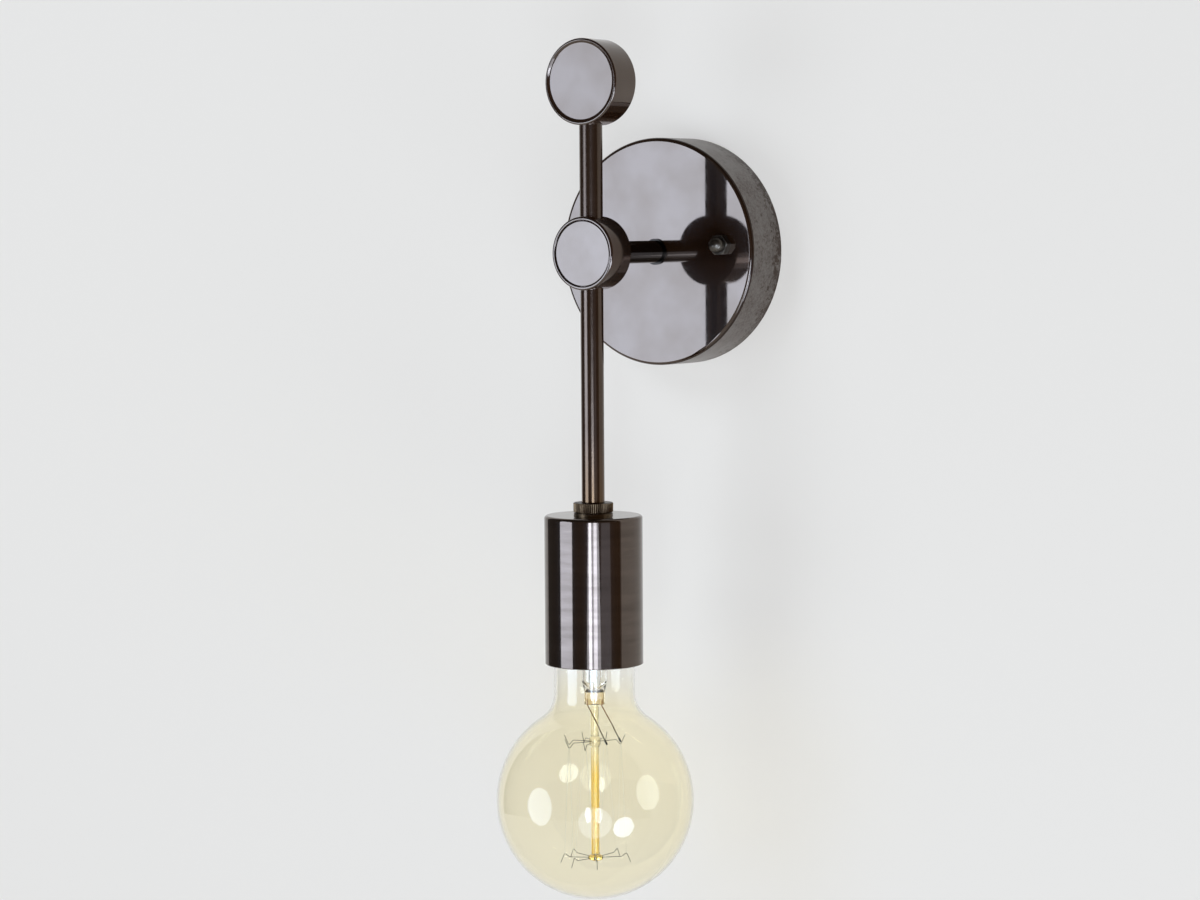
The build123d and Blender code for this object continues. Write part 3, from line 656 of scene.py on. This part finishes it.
# Camera, as measured on the photograph; angles in degrees
IMAGE_WIDTH = 1200
FOCAL_PIXELS = 3000.0
SENSOR_WIDTH = 36.0
CAMERA_YAW = 34.74
CAMERA_PITCH = 4.45
CAMERA_ROLL = -0.38
CAMERA_DISTANCE = 1.434
CAMERA_TARGET = Vector((0.0028, -0.080, -0.09387))
CAMERA_NEAR = 0.05


def towards(azimuth, elevation):
    """Direction of length 1, given by azimuth and elevation in degrees."""
    turn, lift = math.radians(azimuth), math.radians(elevation)
    return Vector((math.sin(turn) * math.cos(lift), -math.cos(turn) * math.cos(lift), math.sin(lift)))


def add_camera():
    """Camera that sees the lamp as the photograph does."""
    data = bpy.data.cameras.new("camera")
    data.sensor_fit = "HORIZONTAL"
    data.sensor_width = SENSOR_WIDTH
    data.lens = SENSOR_WIDTH * FOCAL_PIXELS / IMAGE_WIDTH
    data.clip_start = CAMERA_NEAR
    camera = bpy.data.objects.new("camera", data)
    bpy.context.scene.collection.objects.link(camera)
    back = towards(CAMERA_YAW, CAMERA_PITCH)
    level = back.to_track_quat("Z", "Y").to_matrix().to_4x4()
    roll = Matrix.Rotation(math.radians(CAMERA_ROLL), 4, "Z")
    camera.matrix_world = Matrix.Translation(CAMERA_TARGET + CAMERA_DISTANCE * back) @ level @ roll
    bpy.context.scene.camera = camera


add_camera()

# Wall and floor
WALL_WHITE = (0.83, 0.83, 0.83)
WALL_PAINT = (0.648, 0.576, 0.472)
WALL_LEFT = -0.62
WALL_RIGHT = 0.40
WALL_TOP = 0.55
WALL_BOTTOM = -0.85
WALL_UNDER_RIM = 1.0 * MM
WALL_STEPS = 24
WALL_WELD_DISTANCE = 1e-6
FLOOR_HEIGHT = -1.5
FLOOR_REACH = 5.0
FLOOR_SEGMENTS = 64
SHOWN_SHARE = 0.62


def shown_rays(tree):
    """1 for rays that the camera, a mirror or glass sends, 0 for the rest."""
    path = tree.nodes.new("ShaderNodeLightPath")
    total = path.outputs["Is Camera Ray"]
    for name in ("Is Glossy Ray", "Is Transmission Ray"):
        node = tree.nodes.new("ShaderNodeMath")
        node.operation = "MAXIMUM"
        tree.links.new(total, node.inputs[0])
        tree.links.new(path.outputs[name], node.inputs[1])
        total = node.outputs["Value"]
    return total


def stage_material(name, one_sided):
    """Pale matt surface that shows near white and keeps part of the object's shadow."""
    material = bpy.data.materials.new(name)
    material.use_nodes = True
    tree = material.node_tree
    tree.nodes.remove(tree.nodes["Principled BSDF"])
    matt = tree.nodes.new("ShaderNodeBsdfDiffuse")
    matt.inputs["Color"].default_value = (*WALL_PAINT, 1.0)
    shown = tree.nodes.new("ShaderNodeEmission")
    shown.inputs["Color"].default_value = (*WALL_WHITE, 1.0)
    share = tree.nodes.new("ShaderNodeMath")
    share.operation = "MULTIPLY"
    share.inputs[1].default_value = SHOWN_SHARE
    tree.links.new(shown_rays(tree), share.inputs[0])
    surface = mix_shaders(tree, share.outputs["Value"], matt.outputs["BSDF"], shown.outputs["Emission"])
    if one_sided:
        facing = tree.nodes.new("ShaderNodeNewGeometry")
        clear = tree.nodes.new("ShaderNodeBsdfTransparent")
        surface = mix_shaders(tree, facing.outputs["Backfacing"], surface, clear.outputs["BSDF"])
    tree.links.new(surface, tree.nodes["Material Output"].inputs["Surface"])
    return material


def add_wall():
    """Wall round the canopy's rim, open behind the canopy and clear from the back."""
    low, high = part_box("canopy")
    radius = (high.x - low.x) / 2 - WALL_UNDER_RIM
    corners = [(WALL_RIGHT, WALL_TOP), (WALL_LEFT, WALL_TOP),
               (WALL_LEFT, WALL_BOTTOM), (WALL_RIGHT, WALL_BOTTOM)]
    mesh = bmesh.new()
    for index, corner in enumerate(corners):
        following = corners[(index + 1) % len(corners)]
        start = math.atan2(corner[1], corner[0])
        turn = (math.atan2(following[1], following[0]) - start) % math.tau
        inner, outer = [], []
        for step in range(WALL_STEPS + 1):
            share = step / WALL_STEPS
            angle = start + turn * share
            inner.append(mesh.verts.new((radius * math.cos(angle), 0.0, radius * math.sin(angle))))
            outer.append(mesh.verts.new((corner[0] + share * (following[0] - corner[0]), 0.0,
                                         corner[1] + share * (following[1] - corner[1]))))
        for step in range(WALL_STEPS):
            mesh.faces.new((inner[step], outer[step], outer[step + 1], inner[step + 1]))
    bmesh.ops.remove_doubles(mesh, verts=mesh.verts, dist=WALL_WELD_DISTANCE)
    for face in mesh.faces:
        face.normal_update()
        if face.normal.y > 0:
            face.normal_flip()
    data = bpy.data.meshes.new("wall")
    mesh.to_mesh(data)
    mesh.free()
    wall = bpy.data.objects.new("wall", data)
    bpy.context.scene.collection.objects.link(wall)
    data.materials.append(stage_material("wall_paint", True))


def add_floor():
    """Round floor well below the lamp."""
    mesh = bmesh.new()
    bmesh.ops.create_circle(mesh, cap_ends=True, segments=FLOOR_SEGMENTS, radius=FLOOR_REACH)
    data = bpy.data.meshes.new("floor")
    mesh.to_mesh(data)
    mesh.free()
    floor = bpy.data.objects.new("floor", data)
    floor.location.z = FLOOR_HEIGHT
    bpy.context.scene.collection.objects.link(floor)
    data.materials.append(stage_material("floor_paint", False))


# Room, with the range of a direction's part over which its colours change
ROOM_LEFT = (0.097, 0.090, 0.084)
ROOM_RIGHT = (0.165, 0.105, 0.060)
ROOM_TOP = (0.060, 0.054, 0.048)
ROOM_SIDE_RANGE = (-0.8, 0.8)
ROOM_TOP_RANGE = (0.25, 0.75)
ROOM_BACK_RANGE = (0.16, 0.24)


def add_world():
    """White for the camera and beyond the wall, else a dim room that is browner to the right."""
    world = bpy.data.worlds.new("room")
    bpy.context.scene.world = world
    world.use_nodes = True
    tree = world.node_tree
    room = tree.nodes["Background"]
    white = tree.nodes.new("ShaderNodeBackground")
    white.inputs["Color"].default_value = (*WALL_WHITE, 1.0)
    path = tree.nodes.new("ShaderNodeLightPath")
    surface = mix_shaders(tree, path.outputs["Is Camera Ray"],
                          room.outputs["Background"], white.outputs["Background"])
    tree.links.new(surface, tree.nodes["World Output"].inputs["Surface"])
    place = tree.nodes.new("ShaderNodeTexCoord")
    parts = tree.nodes.new("ShaderNodeSeparateXYZ")
    tree.links.new(place.outputs["Generated"], parts.inputs["Vector"])

    def blend(axis, limits, first, second):
        """Change from one colour to another between two limits of a direction's part."""
        ramp = tree.nodes.new("ShaderNodeMapRange")
        ramp.inputs["From Min"].default_value = limits[0]
        ramp.inputs["From Max"].default_value = limits[1]
        tree.links.new(parts.outputs[axis], ramp.inputs["Value"])
        return mix_colours(tree, ramp.outputs["Result"], first, second)

    sides = blend("X", ROOM_SIDE_RANGE, ROOM_LEFT, ROOM_RIGHT)
    dim = blend("Z", ROOM_TOP_RANGE, sides, ROOM_TOP)
    tree.links.new(blend("Y", ROOM_BACK_RANGE, dim, WALL_WHITE), room.inputs["Color"])


# Lights, at distances that keep overlapping ones apart
LIGHT_COLOUR = (0.81, 0.98, 1.26)
LIGHT_DISTANCE = 2.0
NEARER_DISTANCE = 1.98
FARTHER_DISTANCE = 2.02


def add_soft_light(name, azimuth, elevation, half_width, half_height, brightness, distance=LIGHT_DISTANCE):
    """Oval soft light facing the globe; half sizes in degrees, brightness as multiples of white."""
    width = 2 * distance * math.tan(math.radians(half_width))
    height = 2 * distance * math.tan(math.radians(half_height))
    data = bpy.data.lights.new(name, "AREA")
    data.shape = "ELLIPSE"
    data.size = width
    data.size_y = height
    data.color = LIGHT_COLOUR
    data.energy = brightness * math.pi * (math.pi * width * height / 4)
    light = bpy.data.objects.new(name, data)
    bpy.context.scene.collection.objects.link(light)
    direction = towards(azimuth, elevation)
    light.location = globe_centre + distance * direction
    light.rotation_euler = direction.to_track_quat("Z", "Y").to_euler()
    light.visible_camera = False
    return light


bpy.context.scene.view_settings.view_transform = "Standard"
add_wall()
add_floor()
add_world()
add_soft_light("left_light", azimuth=-33.0, elevation=-2.4, half_width=16.5, half_height=17.8,
               brightness=5.0)
add_soft_light("front_light", azimuth=34.2, elevation=-16.3, half_width=18.5, half_height=18.5,
               brightness=3.0)
add_soft_light("front_tube_left", azimuth=26.5, elevation=-7.0, half_width=3.4, half_height=9.0,
               brightness=10.4, distance=NEARER_DISTANCE)
add_soft_light("front_tube_right", azimuth=38.5, elevation=-7.0, half_width=4.2, half_height=9.0,
               brightness=6.9, distance=NEARER_DISTANCE)
add_soft_light("right_light", azimuth=68.7, elevation=-21.8, half_width=11.6, half_height=11.6,
               brightness=9.0)
add_soft_light("right_glow", azimuth=63.0, elevation=-12.0, half_width=13.0, half_height=16.0,
               brightness=0.40, distance=FARTHER_DISTANCE)

# The top light brightens upper sides and doesn't show in metal or glass
top_light = add_soft_light("top_light", azimuth=-28.0, elevation=40.0, half_width=12.0, half_height=12.0,
                           brightness=9.0)
top_light.visible_glossy = False
top_light.visible_transmission = False
